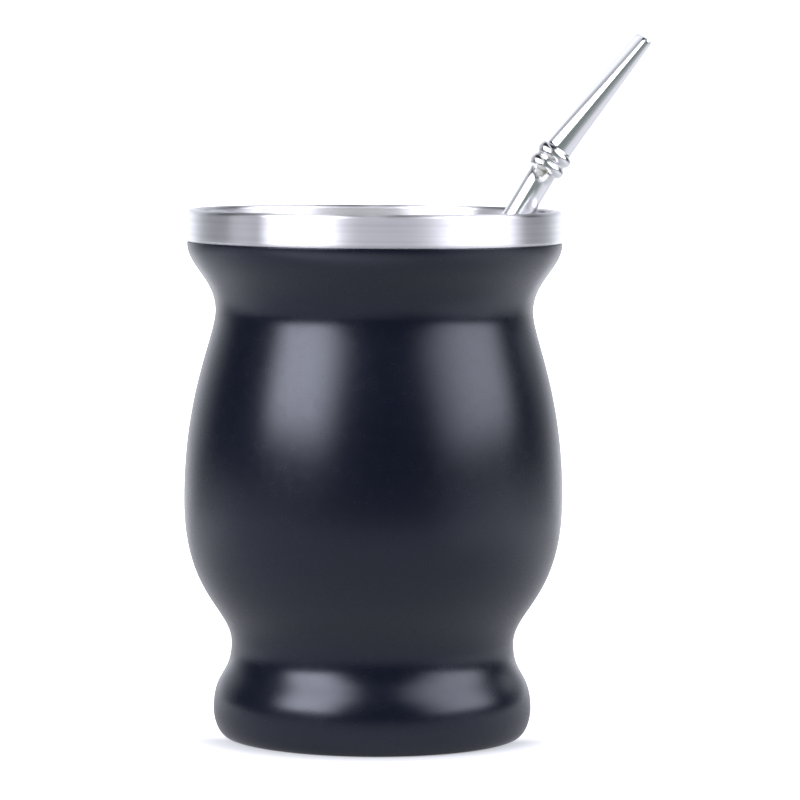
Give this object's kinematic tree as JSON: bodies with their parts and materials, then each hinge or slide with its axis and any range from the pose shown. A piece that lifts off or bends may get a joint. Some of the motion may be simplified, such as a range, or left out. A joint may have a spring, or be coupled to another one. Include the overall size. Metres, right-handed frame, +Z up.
{
  "type": "mate drink in a waisted steel cup with a straw",
  "caption": "Waisted metal mate cup with a bare steel rim band, packed with leaves and brew, and a bent steel straw with a beaded collar leaning on the rim.",
  "frame": {"origin": "middle of the flat underside, on the cup's axis", "axes": "+Z up along the cup's axis, +X the way the straw leans, +Y away from the viewer of the picture"},
  "size_m": [0.0999, 0.0812, 0.151],
  "materials": {
    "powder_coat": "satin blue-black powder coat with a very fine grain",
    "brushed_steel": "bare steel brushed round the rim",
    "polished_steel": "polished stainless steel",
    "leaf": "dry cut leaf and stalk, darker and wet near the brew",
    "brew": "wet green-gold liquid with a ring of fine foam"
  },
  "bodies": {
    "root": {"cup_body": "powder_coat", "steel_liner": "brushed_steel", "bombilla": "polished_steel", "yerba_mate": "leaf", "mate_infusion": "brew"}
  },
  "joints": []
}
